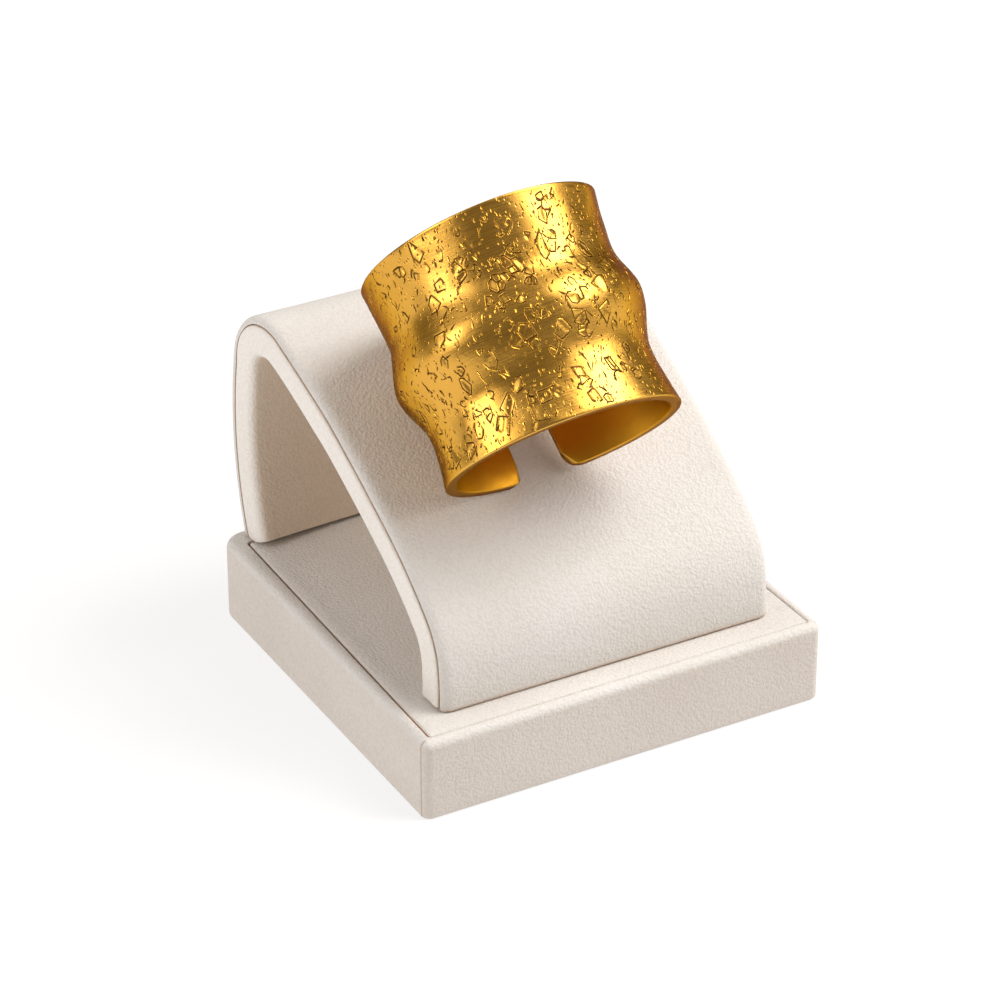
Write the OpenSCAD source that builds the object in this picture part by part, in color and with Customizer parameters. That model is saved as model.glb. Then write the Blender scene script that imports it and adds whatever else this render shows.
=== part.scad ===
// Open brass cuff ring lying on the slope of a bent, leatherette-covered arch stand.
// Units are millimetres. X runs along the arch, the front slope faces -Y, Z is up,
// and the origin is the middle of the base's underside.

/* [Ring] */
// length of the band along the finger
band_length = 19.65; // [14:0.05:26]
// half width of the back end of the band, outside
back_half_width = 11.3; // [9:0.05:13]
// half height of the back end of the band, outside
back_half_height = 12.2; // [9:0.05:13]
// half width of the front end of the band, outside
front_half_width = 11.4; // [9:0.05:13]
// half height of the front end of the band, outside
front_half_height = 9.3; // [8:0.05:13]
// thickness of the metal
metal_thickness = 1.05; // [0.8:0.05:1.8]
// half of the open gap between the two ends
gap_half_width = 2.4; // [1.5:0.1:5]
// how far the gap lies to the right of the lowest line, in degrees round the band
gap_turn = 7.4; // [0:0.1:15]
// radius of the four corners at the gap
gap_corner_radius = 1.2; // [0.4:0.1:2.5]
// rise of the finger axis above level, in degrees
ring_elevation = 41.9; // [24:0.1:60]
// small turn of the finger axis to the left, in degrees
ring_turn = 1.3; // [-10:0.1:10]
// middle of the front rim, across the arch
ring_x = -2.7; // [-8:0.01:8]
// middle of the front rim, front to back
ring_y = -13.17; // [-18:0.01:-8]
// middle of the front rim, above the table
ring_z = 28.97; // [25:0.01:34]
// how far the waves run ahead on the right-hand side, as a share of the length
wave_skew = 0.03; // [0:0.005:0.1]
// facets round the band
ring_columns = 72; // [36:6:120]
// facet rows along the band
ring_rows = 20; // [12:1:30]

/* [Arch] */
// width of the arch at its front foot
arch_front_width = 33; // [26:0.2:38]
// width of the arch at its back foot
arch_back_width = 36; // [26:0.2:38]
// thickness of the outer leatherette layer
cover_thickness = 1.1; // [1:0.1:2]
// thickness of the padded inner layer
lining_thickness = 2.3; // [1.5:0.1:3]
// gap between the two layers, seen as the thin seam
seam_gap = 0.1; // [0.05:0.05:0.3]
// front face of the front foot
foot_y = -16.77; // [-18:0.01:-14]
// direction in which the front foot rises, in degrees from level
foot_heading = 93.3; // [85:0.1:100]

/* [Rest under the ring] */
// width of the hidden rest
rest_width = 8; // [6:0.5:12]
// where the rest starts, from the front rim along the band
rest_from = 9.5; // [6:0.1:12]
// where the rest ends, from the front rim along the band
rest_to = 18.6; // [14:0.1:19]
// gap between the ring and the rest
rest_gap = 0.25; // [0.1:0.05:0.5]

/* [Base] */
// width of the base
base_width = 40.4; // [32:0.2:50]
// depth of the base
base_depth = 40.2; // [32:0.2:50]
// height of the base
base_height = 8; // [5:0.2:12]
// radius of the upright edges and of the wrapped top edge
base_edge_radius = 0.8; // [0.5:0.1:2]
// radius of the bottom edge
base_foot_radius = 0.4; // [0.2:0.1:1]
// width of the rim round the inset panel
rim_width = 0.9; // [0.6:0.05:2]
// width of the groove round the panel
groove_width = 0.2; // [0.1:0.05:0.5]
// thickness of the inset panel
panel_thickness = 1.2; // [0.8:0.1:2]
// radius of the panel's corners
panel_corner_radius = 0.5; // [0.2:0.1:2]

/* [Hidden] */
$fn = 96;
seat_gap = 0.1;
wall_total = cover_thickness + seam_gap + lining_thickness;
overlap = 1;
joint_overlap = 0.2;

// Arch profile, a chain of tangent arcs from the front foot over the top to the back foot.
// columns: radius of the outer face, turn in degrees
arch_arcs = [
    [24.3, 9.6],
    [7.4, 40.8],
    [39.5, 12.7],
    [149, 8.5],
    [6, 48],
    [6.4, 55.4],
    [37.5, 29.5]
];
RADIUS = 0;
TURN = 1;
SLOPE_ARC = 3;

// Plan of the arch, which widens behind its top.
// columns: front to back position, share of the widening
arch_plan = [
    [-20, 0],
    [4, 0.15],
    [13, 0.45],
    [24, 1]
];

// Waves along the band, measured from the back rim.
// columns: share of the length, outward swell
band_waves = [
    [-0.18, -0.4],
    [0.28, -0.8],
    [0.52, 0.35],
    [0.76, -0.8],
    [1.2, 0.25]
];

// Soft bumps and dents in the band.
// columns: share of the length, angle round the band, outward swell, reach along, reach round
band_bumps = [
    [0.47, 146, 0.28, 0.09, 15],
    [0.47, 80, 0.24, 0.09, 17],
    [0.5, 113, -0.3, 0.11, 14],
    [0.25, 104, -0.25, 0.12, 20],
    [0.78, 118, -0.2, 0.1, 18],
    [0.3, 20, 0.12, 0.12, 20],
    [0.72, 165, -0.15, 0.1, 18],
    [0.62, 40, -0.15, 0.08, 15],
    [0, 38, 0.35, 0.09, 16]
];

// Arch profile helpers: heading, start and centre of each arc in the chain.
function heading(i) = i == 0 ? foot_heading : heading(i - 1) - arch_arcs[i - 1][TURN];
function across(angle, r) = [-r * sin(angle), r * cos(angle)];
function arc_start(i) =
    i == 0 ? [foot_y, base_height] : arc_centre(i - 1) + across(heading(i), arch_arcs[i - 1][RADIUS]);
function arc_centre(i) = arc_start(i) - across(heading(i), arch_arcs[i][RADIUS]);

// One arc of a layer that lies between two depths under the outer face. It runs a little
// past both of its ends, so that neighbouring arcs join into one solid.
module bend(i, from_depth, to_depth) {
    r = arch_arcs[i][RADIUS];
    past = joint_overlap / r * 180 / PI;
    c = arc_centre(i);
    translate([-arch_back_width / 2 - overlap, c[0], c[1]]) rotate([90, 0, 90])
        rotate([0, 0, heading(i + 1) + 90 - past])
            rotate_extrude(angle = arch_arcs[i][TURN] + 2 * past)
                translate([r - to_depth, 0])
                    square([to_depth - from_depth, arch_back_width + 2 * overlap]);
}

// A layer of the arch, cut to the plan and standing just clear of the panel.
module arch_layer(from_depth, to_depth) {
    half_widening = (arch_back_width - arch_front_width) / 2;
    plan_right = [for (row = arch_plan) [arch_front_width / 2 + half_widening * row[1], row[0]]];
    plan_left = [for (k = [len(arch_plan) - 1 : -1 : 0]) [-plan_right[k][0], plan_right[k][1]]];
    intersection() {
        union() {
            for (i = [0 : len(arch_arcs) - 1]) bend(i, from_depth, to_depth);
        }
        translate([0, 0, base_height + seat_gap]) linear_extrude(base_width)
            polygon(concat(plan_right, plan_left));
    }
}

// Ring shape helpers. Share 0 is the back rim and 1 the front rim.
function mix(a, b, f) = a + (b - a) * f;
function eased(f) = (1 - cos(180 * f)) / 2;
function wave(f, i = 0) =
    f <= band_waves[i + 1][0] || i == len(band_waves) - 2
    ? mix(band_waves[i][1], band_waves[i + 1][1],
          eased((f - band_waves[i][0]) / (band_waves[i + 1][0] - band_waves[i][0])))
    : wave(f, i + 1);
function hill(d) = exp(-d * d / 2);
function bump_sum(f, a, i = 0) = i == len(band_bumps) ? 0
    : band_bumps[i][2] * hill((f - band_bumps[i][0]) / band_bumps[i][3])
      * hill((a - band_bumps[i][1]) / band_bumps[i][4]) + bump_sum(f, a, i + 1);
function swell(f, a) = wave(f + wave_skew * max(cos(a), 0)) + bump_sum(f, a);
function band_point(f, a, depth) = [
    (mix(back_half_width, front_half_width, f) + swell(f, a) - depth) * cos(a),
    (mix(back_half_height, front_half_height, f) + swell(f, a) - depth) * sin(a),
    -band_length * (1 - f)
];

// Half of the gap as an angle, wider at the rims where the corners are rounded.
function rim_distance(f) = band_length * min(f, 1 - f);
function corner_cut(d) = d >= gap_corner_radius ? 0
    : gap_corner_radius - sqrt(pow(gap_corner_radius, 2) - pow(gap_corner_radius - d, 2));
function gap_angle(f) =
    asin((gap_half_width + corner_cut(rim_distance(f))) / mix(back_half_width, front_half_width, f));

// Rows crowd towards the rims, so that the corners come out round.
function row_share(i) = mix(i / ring_rows, eased(i / ring_rows), 0.75);
function column_angle(f, j) =
    gap_turn + mix(gap_angle(f) - 90, 270 - gap_angle(f), j / ring_columns);
function at(i, j, side) = (i * (ring_columns + 1) + j) * 2 + side;
function quad(a, b, c, d) = [[a, c, b], [a, d, c]];

module ring_band() {
    points = [
        for (i = [0 : ring_rows]) for (j = [0 : ring_columns]) for (side = [0, 1])
            let (f = row_share(i), a = column_angle(f, j)) band_point(f, a, side * metal_thickness)
    ];
    walls = [
        for (i = [0 : ring_rows - 1]) for (j = [0 : ring_columns - 1]) each concat(
            quad(at(i, j, 0), at(i, j + 1, 0), at(i + 1, j + 1, 0), at(i + 1, j, 0)),
            quad(at(i, j, 1), at(i + 1, j, 1), at(i + 1, j + 1, 1), at(i, j + 1, 1)))
    ];
    rims = [
        for (j = [0 : ring_columns - 1]) each concat(
            quad(at(0, j, 0), at(0, j, 1), at(0, j + 1, 1), at(0, j + 1, 0)),
            quad(at(ring_rows, j, 0), at(ring_rows, j + 1, 0),
                 at(ring_rows, j + 1, 1), at(ring_rows, j, 1)))
    ];
    ends = [
        for (i = [0 : ring_rows - 1]) each concat(
            quad(at(i, 0, 0), at(i + 1, 0, 0), at(i + 1, 0, 1), at(i, 0, 1)),
            quad(at(i, ring_columns, 0), at(i, ring_columns, 1),
                 at(i + 1, ring_columns, 1), at(i + 1, ring_columns, 0)))
    ];
    color("#c8922e") place_ring() polyhedron(points, concat(walls, rims, ends));
}

module place_ring() {
    translate([ring_x, ring_y, ring_z]) rotate([90 + ring_elevation, 0, 0])
        rotate([0, ring_turn, 0]) children();
}

module arch_cover() {
    color("#e9e2d9") arch_layer(0, cover_thickness);
}

module arch_lining() {
    color("#d8cec3") arch_layer(cover_thickness + seam_gap, wall_total);
}

// How deep the two ends of the band reach at the gap.
function end_depth(f, j) = let (p = band_point(f, column_angle(f, j), 0))
    p[1] * cos(gap_turn) - p[0] * sin(gap_turn);
function lowest_end(f) = min(end_depth(f, 0), end_depth(f, ring_columns));

// A plain wedge between the slope and the two ends of the band, hidden by the ring.
module ring_rest() {
    bulge_share = 0.52;
    depth = 9;
    line_slope = (lowest_end(bulge_share) - lowest_end(0)) / (band_length * bulge_share);
    top_from = lowest_end(0) + line_slope * (band_length - rest_from) - rest_gap;
    top_to = lowest_end(0) + line_slope * (band_length - rest_to) - rest_gap;
    color("#e4dcd2") difference() {
        place_ring() rotate([0, 0, gap_turn]) translate([-rest_width / 2, 0, 0]) rotate([90, 0, 90])
            linear_extrude(rest_width) polygon([
                [top_from, -rest_from], [top_to, -rest_to],
                [top_to - depth, -rest_to], [top_from - depth, -rest_from]
            ]);
        translate([-base_width, 0, 0]) rotate([90, 0, 90]) linear_extrude(2 * base_width)
            translate(arc_centre(SLOPE_ARC))
                circle(arch_arcs[SLOPE_ARC][RADIUS] + seat_gap, $fn = 720);
    }
}

module rounded_outline(w, d, r) {
    union() {
        square([w - 2 * r, d], center = true);
        square([w, d - 2 * r], center = true);
        for (sx = [-1, 1]) for (sy = [-1, 1])
            translate([sx * (w / 2 - r), sy * (d / 2 - r)]) circle(r);
    }
}

// Side view of the base, standing on the table.
module side_outline(w) {
    r = base_edge_radius;
    s = base_foot_radius;
    union() {
        translate([-w / 2, s]) square([w, base_height - r - s]);
        translate([s - w / 2, 0]) square([w - 2 * s, base_height / 2]);
        translate([r - w / 2, base_height / 2]) square([w - 2 * r, base_height / 2]);
        for (side = [-1, 1]) {
            translate([side * (w / 2 - r), base_height - r]) circle(r);
            translate([side * (w / 2 - s), s]) circle(s);
        }
    }
}

// The base block with all its edges rounded.
module rounded_block() {
    intersection() {
        linear_extrude(base_height) rounded_outline(base_width, base_depth, base_edge_radius);
        rotate([90, 0, 90]) translate([0, 0, -base_width / 2])
            linear_extrude(base_width) side_outline(base_depth);
        rotate([90, 0, 0]) translate([0, 0, -base_depth / 2])
            linear_extrude(base_depth) side_outline(base_width);
    }
}

module base_box() {
    pocket_width = base_width - 2 * rim_width;
    pocket_depth = base_depth - 2 * rim_width;
    color("#e6dfd6") difference() {
        rounded_block();
        translate([0, 0, base_height - panel_thickness]) linear_extrude(panel_thickness + overlap)
            rounded_outline(pocket_width, pocket_depth, panel_corner_radius);
    }
}

module base_panel() {
    inset = rim_width + groove_width;
    color("#e9e2d9") translate([0, 0, base_height - panel_thickness + seat_gap])
        linear_extrude(panel_thickness - seat_gap)
            rounded_outline(base_width - 2 * inset, base_depth - 2 * inset, panel_corner_radius);
}

ring_band();
arch_cover();
arch_lining();
ring_rest();
base_box();
base_panel();
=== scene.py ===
"""An open brass cuff ring lying on the slope of its padded leatherette stand."""

import math
from typing import NamedTuple

import bpy
import numpy as np
from bpy.props import FloatProperty, FloatVectorProperty, IntProperty, PointerProperty
from mathutils import Matrix, Quaternion, Vector


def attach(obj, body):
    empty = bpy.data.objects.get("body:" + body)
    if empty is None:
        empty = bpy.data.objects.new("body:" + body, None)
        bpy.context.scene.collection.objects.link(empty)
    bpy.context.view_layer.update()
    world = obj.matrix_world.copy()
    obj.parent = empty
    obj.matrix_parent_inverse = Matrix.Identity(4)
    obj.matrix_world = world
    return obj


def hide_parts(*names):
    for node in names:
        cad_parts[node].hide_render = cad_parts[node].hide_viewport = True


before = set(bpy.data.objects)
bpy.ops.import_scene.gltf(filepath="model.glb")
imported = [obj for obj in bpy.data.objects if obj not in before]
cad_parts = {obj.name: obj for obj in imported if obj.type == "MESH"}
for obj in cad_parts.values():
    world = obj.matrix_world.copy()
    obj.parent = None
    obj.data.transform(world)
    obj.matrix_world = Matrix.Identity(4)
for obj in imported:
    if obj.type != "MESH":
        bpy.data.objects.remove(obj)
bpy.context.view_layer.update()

bl_info = {
    "name": "Brass cuff ring on a stand",
    "version": (1, 0, 0),
    "blender": (4, 5, 0),
    "location": "View3D > Sidebar > Cuff Ring",
    "description": "Builds the engraved cuff ring, its padded stand and the soft light round them",
    "category": "Object",
}

# Width and height of the picture in pixels
PICTURE_SIZE = 1000
# Layers that the engraved lines are shared out among, three to each attribute of the mesh
MARK_LAYERS = 6
LAYERS_EACH = 3
# Largest distance across a line that is kept, in half widths
FAR_ACROSS = 4.0
# How far outside a mark its line is written, and how much further it stays clear of others, in mm
LAY_REACH = 0.28
LAY_CLEARANCE = 0.14
# Grid of the band: rows along its outer and its inner face, and columns round it
OUTER_ROWS, INNER_ROWS, BAND_COLUMNS = 166, 16, 474
# Angles round the band, from the right over the top, that its columns are spaced for
BAND_ANGLES = (-83, 263)
# Rounding of the band's two ends at the gap in mm, and the columns that it takes at each end
BAND_END_RADIUS, BAND_END_COLUMNS = 0.3, 6
# Angles of the two sides that the camera doesn't see, and the facets on each
HIDDEN_SIDES = ((-80, 20), (172, 258))
HIDDEN_FACETS = 26
# Angle round the band where strokes are fewest, how far that reaches, and how many are left out
QUIET_ANGLE, QUIET_REACH, QUIET_SHARE = 112, 22, 0.7

# Arch profile, a chain of tangent arcs from the front foot over the top to the back foot.
# columns: radius of the outer face in mm, turn in degrees
ARCH_ARCS = (
    (24.3, 9.6),
    (7.4, 40.8),
    (39.5, 12.7),
    (149.0, 8.5),
    (6.0, 48.0),
    (6.4, 55.4),
    (37.5, 29.5),
)
# Plan of the arch. columns: front to back position in mm, share of the widening
ARCH_PLAN = ((-20, 0.0), (4, 0.15), (13, 0.45), (24, 1.0))
# Waves along the band from the back rim. columns: share of the length, outward swell in mm
BAND_WAVES = ((-0.18, -0.4), (0.28, -0.8), (0.52, 0.35), (0.76, -0.8), (1.2, 0.25))
# Soft bumps and dents of the band.
# columns: share of the length, angle round the band, outward swell in mm, reach along, reach round
BAND_BUMPS = (
    (0.47, 146, 0.28, 0.09, 15),
    (0.47, 80, 0.24, 0.09, 17),
    (0.50, 113, -0.30, 0.11, 14),
    (0.25, 104, -0.25, 0.12, 20),
    (0.78, 118, -0.20, 0.10, 18),
    (0.30, 20, 0.12, 0.12, 20),
    (0.72, 165, -0.15, 0.10, 18),
    (0.62, 40, -0.15, 0.08, 15),
    (0.00, 38, 0.35, 0.09, 16),
)
# Engraved facets on the side that faces the camera, charted.
# columns: place in the picture in pixels from the left and the top, reach in mm, cells,
# lengthening along the band, turn in degrees
FACET_CHART = (
    (417, 255, 0.50, 1, 1.2, 20),
    (456, 231, 0.50, 2, 1.4, 0),
    (460, 267, 1.00, 4, 1.2, -15),
    (469, 264, 0.55, 1, 1.5, -20),
    (499, 281, 1.00, 4, 1.1, 10),
    (511, 261, 1.10, 4, 1.5, 20),
    (512, 248, 0.60, 3, 0.8, 30),
    (489, 302, 0.40, 1, 1.2, 0),
    (505, 298, 0.40, 1, 1.0, 0),
    (521, 299, 0.45, 1, 0.8, 10),
    (502, 309, 0.45, 2, 1.0, 0),
    (479, 271, 0.50, 2, 1.1, 10),
    (434, 304, 0.70, 1, 1.4, 10),
    (400, 272, 0.60, 2, 1.3, 15),
    (440, 287, 0.50, 1, 1.0, 0),
    (525, 331, 0.60, 1, 1.2, 0),
    (509, 325, 0.45, 2, 1.4, 0),
    (500, 222, 0.35, 1, 0.6, 20),
    (440, 340, 0.55, 1, 1.3, 0),
    (491, 361, 0.60, 1, 1.0, 20),
    (517, 384, 0.60, 1, 1.2, 20),
    (533, 396, 0.70, 2, 1.0, 15),
    (545, 395, 0.60, 1, 1.0, -10),
    (556, 392, 0.70, 3, 1.2, 0),
    (539, 412, 0.65, 1, 1.1, 20),
    (535, 426, 0.30, 1, 1.0, 0),
    (460, 371, 0.40, 1, 1.2, 0),
    (466, 386, 0.50, 1, 1.4, 10),
    (477, 410, 0.60, 2, 1.0, 25),
    (488, 414, 0.60, 2, 0.9, 30),
    (479, 431, 0.65, 1, 1.3, 15),
    (504, 425, 0.70, 1, 1.2, 25),
    (509, 404, 0.65, 1, 1.4, 0),
    (455, 458, 0.70, 1, 2.0, 10),
    (471, 449, 0.45, 1, 1.2, 0),
    (541, 196, 0.40, 1, 1.0, 20),
    (546, 204, 0.50, 1, 1.0, 10),
    (543, 214, 0.55, 1, 1.3, 15),
    (542, 246, 0.65, 1, 1.6, 15),
    (551, 234, 0.40, 1, 0.9, 0),
    (569, 251, 0.45, 1, 1.5, 0),
    (571, 240, 0.60, 2, 1.0, 10),
    (577, 288, 1.15, 6, 1.1, 10),
    (588, 273, 0.35, 1, 1.2, 0),
    (601, 282, 0.70, 1, 0.9, 0),
    (604, 264, 0.55, 1, 1.2, -20),
    (584, 249, 0.60, 1, 1.6, 10),
    (531, 281, 0.55, 2, 1.0, 0),
    (541, 312, 0.60, 2, 1.1, 0),
    (530, 315, 0.45, 1, 1.3, 0),
    (582, 317, 0.75, 2, 0.8, 5),
    (606, 312, 0.65, 1, 1.0, 0),
    (586, 330, 0.80, 3, 1.0, 0),
    (562, 327, 0.75, 1, 1.1, 0),
    (554, 347, 0.60, 2, 1.3, -20),
    (560, 371, 0.50, 3, 1.2, -30),
    (579, 371, 0.50, 1, 1.1, 20),
    (586, 381, 0.60, 2, 0.8, 0),
    (611, 364, 0.55, 1, 1.3, 10),
    (624, 365, 0.45, 2, 1.2, 20),
    (596, 396, 0.55, 1, 1.4, 10),
    (609, 397, 0.40, 1, 1.2, 0),
    (626, 347, 0.45, 1, 1.3, 10),
)
# Soft lights. columns: name, degrees round from the front to the right, degrees up,
# distance in metres, width and height in metres, roll in degrees, radiance, colour
LIGHTS = (
    ("key", 58, 43, 0.50, (0.44, 0.61), -30, 2.0, (1.0, 0.98, 0.955)),
    ("key_core", 63, 46, 0.49, (0.20, 0.38), -30, 6.0, (1.0, 0.98, 0.955)),
    ("left", -91, 31, 0.50, (0.49, 0.49), 38, 1.05, (1.0, 0.98, 0.955)),
    ("left_core", -90, 30, 0.49, (0.20, 0.22), 38, 4.0, (1.0, 0.98, 0.955)),
    ("top", 62, 70, 0.52, (0.26, 0.26), 0, 2.0, (1.0, 0.99, 0.975)),
    ("back", 178, 50, 0.55, (0.70, 0.36), 0, 0.9, (1.0, 1.0, 1.0)),
)


def length(label, text, millimetres):
    """A length that the user can change, given in millimetres and kept in metres."""
    return FloatProperty(
        name=label, description=text, default=millimetres / 1000, unit="LENGTH", precision=5
    )


def turn(label, text, degrees):
    """An angle that the user can change, given in degrees and kept in radians."""
    return FloatProperty(name=label, description=text, default=math.radians(degrees), unit="ROTATION")


def share(label, text, value, top=1.0):
    """A plain value from nought to a top."""
    return FloatProperty(name=label, description=text, default=value, min=0.0, max=top)


def number(label, text, value):
    """A count of like things."""
    return IntProperty(name=label, description=text, default=value, min=0)


def colour(label, text, value):
    """A surface colour in linear light."""
    return FloatVectorProperty(
        name=label, description=text, default=value, subtype="COLOR", size=3, min=0.0, max=1.0
    )


class CuffRingSettings(bpy.types.PropertyGroup):
    """Sizes and colours of the ring."""

    band_length: length("Band length", "Length of the band along the finger", 19.65)
    back_half_width: length("Back half width", "Half width of the back end, outside", 11.3)
    back_half_height: length("Back half height", "Half height of the back end, outside", 12.2)
    front_half_width: length("Front half width", "Half width of the front end, outside", 11.4)
    front_half_height: length("Front half height", "Half height of the front end, outside", 9.3)
    metal_thickness: length("Metal thickness", "Thickness of the band", 1.05)
    edge_radius: length("Edge radius", "Rounding of the rims", 0.14)
    gap_half_width: length("Half gap", "Half of the open gap between the two ends", 2.4)
    gap_turn: turn("Gap turn", "How far the gap lies to the right of the lowest line", 7.4)
    left_corner: length("Left corner", "Radius of the corners on the left of the gap", 0.9)
    right_corner: length("Right corner", "Radius of the corners on the right of the gap", 1.5)
    elevation: turn("Elevation", "Rise of the finger axis above level", 41.9)
    axis_turn: turn("Turn", "Small turn of the finger axis to the left", 1.3)
    place_x: length("Across", "Middle of the front rim, across the arch", -2.7)
    place_y: length("Front to back", "Middle of the front rim, front to back", -13.17)
    place_z: length("Height", "Middle of the front rim, above the table", 28.97)
    wave_skew: share("Wave skew", "How far the waves run ahead on the right", 0.03)
    mark_depth: length("Mark depth", "Depth of an engraved line", 0.09)
    mark_width: length("Mark width", "Half width of an engraved line", 0.05)
    facet_size: share("Facet size", "Size of the facets as a share of the chart's", 1.0, 2.0)
    facet_tilt: share("Facet tilt", "Slope of a facet's floor", 0.17)
    hammering: length("Hammering", "Height of the faint low relief", 0.02)
    stroke_count: number("Strokes", "Short strokes round the band", 1350)
    chip_count: number("Chips", "Small open facets round the band", 190)
    brass: colour("Brass", "Polished high spots", (0.78, 0.41, 0.06))
    # Deeper brass, mixed in at random on the outside, and painted shade over the inside of the band
    deep_brass: colour("Deep brass", "Hollows and the inside", (0.64, 0.30, 0.016))
    rim_brass: colour("Rim brass", "Flat, finely ground rims", (0.78, 0.46, 0.12))
    edge_tint: colour("Edge tint", "Reflection at a grazing angle", (0.13, 0.07, 0.02))
    # Groove colour: tarnish and painted shade in the marks and pits
    groove: colour("Groove", "Tarnish in the marks", (0.05, 0.02, 0.003))
    roughness: share("Roughness", "Satin finish of the outside", 0.285)


class CuffStandSettings(bpy.types.PropertyGroup):
    """Sizes and colours of the stand."""

    front_width: length("Front width", "Width of the arch at its front foot", 33)
    back_width: length("Back width", "Width of the arch at its back foot", 36)
    cover_thickness: length("Cover", "Thickness of the outer layer", 1.1)
    lining_thickness: length("Lining", "Thickness of the padded inner layer", 2.3)
    seam_gap: length("Seam", "Gap between the two layers", 0.1)
    foot_y: length("Foot", "Front face of the front foot", -16.77)
    foot_heading: turn("Foot heading", "Direction in which the front foot rises", 93.3)
    cover_edge: length("Cover edge", "Thickness of the cover at its long edges", 0.74)
    edge_seam: length("Edge seam", "Width of the seam beside the cover", 0.075)
    edge_roll: length("Edge roll", "Rounding of the cover's long edges", 1.0)
    foot_flare: length("Foot flare", "How far the back foot spreads on each side", 0.55)
    back_thinning: length("Back thinning", "How much thinner the lining is at its back foot", 1.5)
    base_width: length("Base width", "Width of the base", 40.4)
    base_depth: length("Base depth", "Depth of the base", 40.2)
    base_height: length("Base height", "Height of the base", 8)
    base_edge: length("Base edge", "Rounding of the wrapped top edge", 0.8)
    base_foot: length("Base foot", "Rounding of the bottom edge", 0.4)
    base_corner: length("Front corners", "Rounding of the front upright edges", 0.9)
    base_back_corner: length("Back corners", "Rounding of the back upright edges", 2.2)
    rim_width: length("Rim", "Width of the rim round the panel", 0.9)
    groove_width: length("Groove", "Width of the groove round the panel", 0.11)
    panel_back: length("Panel back", "Back edge of the panel, under the arch's back foot", 17.5)
    seat_gap: length("Seat gap", "Gap under the arch's feet", 0.1)
    rest_width: length("Rest width", "Width of the hidden rest", 8)
    rest_from: length("Rest start", "Start of the rest, from the front rim", 9.5)
    rest_to: length("Rest end", "End of the rest, from the front rim", 18.6)
    rest_gap: length("Rest gap", "Gap between the ring and the rest", 0.25)
    skin: colour("Leatherette", "Warm off-white of the cover", (0.72, 0.69, 0.66))
    top_skin: colour("Panel leatherette", "Palest, on the panel and the rim", (0.74, 0.71, 0.685))
    # painted shade: the base's upright sides are a greyer, darker copy of its top's leatherette
    shaded_side_skin: colour("Base leatherette", "Greyer beige of the base's sides", (0.665, 0.605, 0.555))
    inner_skin: colour("Edge leatherette", "Beige of the lining's edges", (0.87, 0.82, 0.775))
    # painted shade: a darker beige for the lining's underside inside the arch
    hollow_shade_skin: colour("Hollow leatherette", "Darker beige inside the arch", (0.78, 0.66, 0.54))
    # Seam and shade tone: brown for the upright wrap seams, and painted shade down in the gaps between the
    # layers, in the groove round the panel and under the arch's feet
    seam_and_shade_tone: colour("Seam", "Dark brown down in the seams and under the feet", (0.58, 0.42, 0.30))
    grain: length("Grain", "Spacing of the fine grain", 0.27)


class CuffStageSettings(bpy.types.PropertyGroup):
    """Camera, light and floor."""

    azimuth: turn("Azimuth", "Camera's turn round the object", -29.223)
    elevation: turn("Elevation", "Camera's rise above level", 30.313)
    roll: turn("Roll", "Camera's roll", 0.054)
    distance: length("Distance", "From the camera to what it looks at", 376.4)
    target_x: length("Target across", "What the camera looks at", -1.317)
    target_y: length("Target depth", "What the camera looks at", 0.521)
    target_z: length("Target height", "What the camera looks at", 16.344)
    lens: FloatProperty(name="Lens", description="Focal length in millimetres", default=150.81)
    sensor: FloatProperty(name="Sensor", description="Sensor width in millimetres", default=36.0)
    floor_colour: colour("Floor", "Pale floor", (0.30, 0.30, 0.30))
    floor_glow: share("Floor glow", "Light from the floor itself, as on a light table", 0.69)
    world_strength: share("World", "Brightness of the surroundings", 0.17, 10.0)


def mm(settings, *names):
    """The named lengths in millimetres."""
    values = [1000 * getattr(settings, name) for name in names]
    return values if len(values) > 1 else values[0]


# Meshes


def make_piece(name, points, faces, replaced, sharp=60, uv=None, attributes=()):
    """A mesh object from points in millimetres, riding on the body and standing for its solid.

    The signed volume, a sixth of the sum of the corners' triple products, says whether the
    faces point outwards; where it is negative, every face is turned over."""
    quads, caps = faces
    corners = points[quads]
    triples = np.einsum("ij,ij->i", corners[:, 0], np.cross(corners[:, 1], corners[:, 2]))
    triples += np.einsum("ij,ij->i", corners[:, 0], np.cross(corners[:, 2], corners[:, 3]))
    way = -1 if triples.sum() < 0 else 1
    mesh = bpy.data.meshes.new(name)
    mesh.from_pydata(points / 1000, [], quads[:, ::way].tolist() + [cap[::way].tolist() for cap in caps])
    mesh.update()
    if uv is not None:
        layer = mesh.uv_layers.new(name="Surface")
        order = np.empty(len(mesh.loops), np.int32)
        mesh.loops.foreach_get("vertex_index", order)
        layer.uv.foreach_set("vector", uv[order].astype(np.float32).ravel())
    for label, values in attributes:
        if values.ndim == 3:
            layer = mesh.attributes.new(label, "FLOAT_VECTOR", "POINT").data
            layer.foreach_set("vector", np.moveaxis(values, 0, -1).astype(np.float32).ravel())
        else:
            layer = mesh.attributes.new(label, "FLOAT", "POINT").data
            layer.foreach_set("value", values.astype(np.float32).ravel())
    mesh.shade_smooth()
    mesh.set_sharp_from_angle(angle=math.radians(sharp))
    piece = bpy.data.objects.new(name, mesh)
    bpy.context.scene.collection.objects.link(piece)
    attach(piece, "root")
    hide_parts(replaced)
    return piece


def tube_faces(sections, around):
    """Quads that join each section of a tube to the next, and one cap at either end."""
    i, j = np.meshgrid(np.arange(sections - 1), np.arange(around), indexing="ij")
    k = (j + 1) % around
    quads = np.stack([i * around + j, i * around + k, (i + 1) * around + k, (i + 1) * around + j], -1)
    first = np.arange(around)[::-1]
    last = np.arange(around) + (sections - 1) * around
    return quads.reshape(-1, 4), (first, last)


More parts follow.
